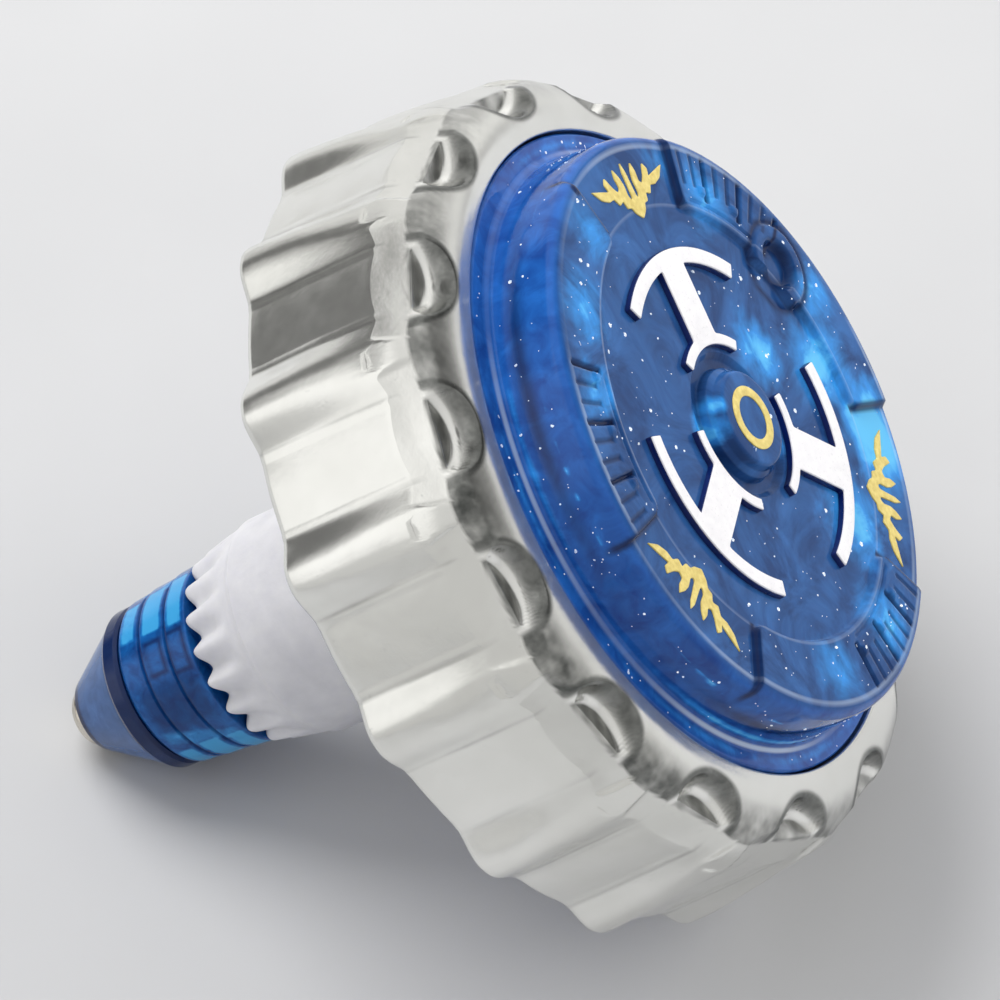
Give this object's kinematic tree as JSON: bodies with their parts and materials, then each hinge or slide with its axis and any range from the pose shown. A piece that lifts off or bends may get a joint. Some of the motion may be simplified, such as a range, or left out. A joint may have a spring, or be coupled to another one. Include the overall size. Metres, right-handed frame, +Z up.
{
  "type": "light up spinning top",
  "caption": "Light-up spinning top: fluted metal-look ring round a clear blue glitter housing, on a white toothed drive sleeve and a blue stem with a steel tip.",
  "frame": {"origin": "centre of the steel tip's flat foot, where the top touches the floor it spins on", "axes": "+Z up along the spin axis, from the tip to the face; +Y towards the first white mark on the face"},
  "size_m": [0.0512, 0.0508, 0.0502],
  "materials": {
    "plated_ring": "bright plated, slightly uneven cast surface",
    "glitter_cover": "polished translucent blue with silver glitter",
    "blue_clear": "polished translucent blue",
    "nose_clear": "polished smoky translucent blue",
    "white_sleeve": "natural milky nylon",
    "white_print": "glossy white pad print",
    "gold_print": "satin gold pad print",
    "tip_steel": "turned steel, polished at the tip",
    "bush_brass": "plain turned brass",
    "washer_black": "black nylon",
    "clip_steel": "spring steel",
    "screw_steel": "zinc plated steel",
    "board_green": "solder mask over glass board",
    "led_red": "tinted clear epoxy",
    "led_green": "tinted clear epoxy",
    "led_blue": "tinted clear epoxy",
    "black_epoxy": "black epoxy",
    "cell_steel": "nickel plated can",
    "contact_metal": "plated brass",
    "spring_steel": "bright steel",
    "leaf_bronze": "phosphor bronze strip",
    "wire_red": "red insulation"
  },
  "bodies": {
    "rotor": {"flywheel_ring": "plated_ring", "top_cover": "glitter_cover", "lower_housing": "blue_clear", "stem_housing": "blue_clear", "nose_cone": "nose_clear", "drive_sleeve": "white_sleeve", "white_mark_a": "white_print", "white_mark_b": "white_print", "white_mark_c": "white_print", "gold_emblem_a": "gold_print", "gold_emblem_b": "gold_print", "gold_emblem_c": "gold_print", "gold_centre_ring": "gold_print", "tip_bush": "bush_brass", "housing_screw_a": "screw_steel", "housing_screw_b": "screw_steel", "housing_screw_c": "screw_steel", "flange_screw_a": "screw_steel", "flange_screw_b": "screw_steel", "flange_screw_c": "screw_steel", "stem_screw": "screw_steel", "circuit_board": "board_green", "led_red": "led_red", "led_green": "led_green", "led_blue": "led_blue", "driver_chip": "black_epoxy", "lamp_resistor": "black_epoxy", "button_cell_a": "cell_steel", "button_cell_b": "cell_steel", "button_cell_c": "cell_steel", "battery_plate": "contact_metal", "switch_post": "contact_metal", "switch_contact": "contact_metal", "battery_spring": "spring_steel", "battery_wire": "wire_red"},
    "tip": {"tip_pin": "tip_steel", "tip_washer": "washer_black", "retaining_clip": "clip_steel"},
    "switch_arm": {"switch_leaf": "leaf_bronze", "switch_weight": "spring_steel"}
  },
  "joints": [
    {"name": "tip_spin", "type": "hinge", "parent": "rotor", "child": "tip", "pos_m": [0, 0, 0.0048], "axis": [0, 0, 1], "continuous": true},
    {"name": "switch_swing", "type": "hinge", "parent": "rotor", "child": "switch_arm", "pos_m": [0.00342, 0.00728, 0.0438], "axis": [0, 0, 1], "range_deg": [0, 8], "stiffness_Nm_per_rad": 0.0001}
  ]
}
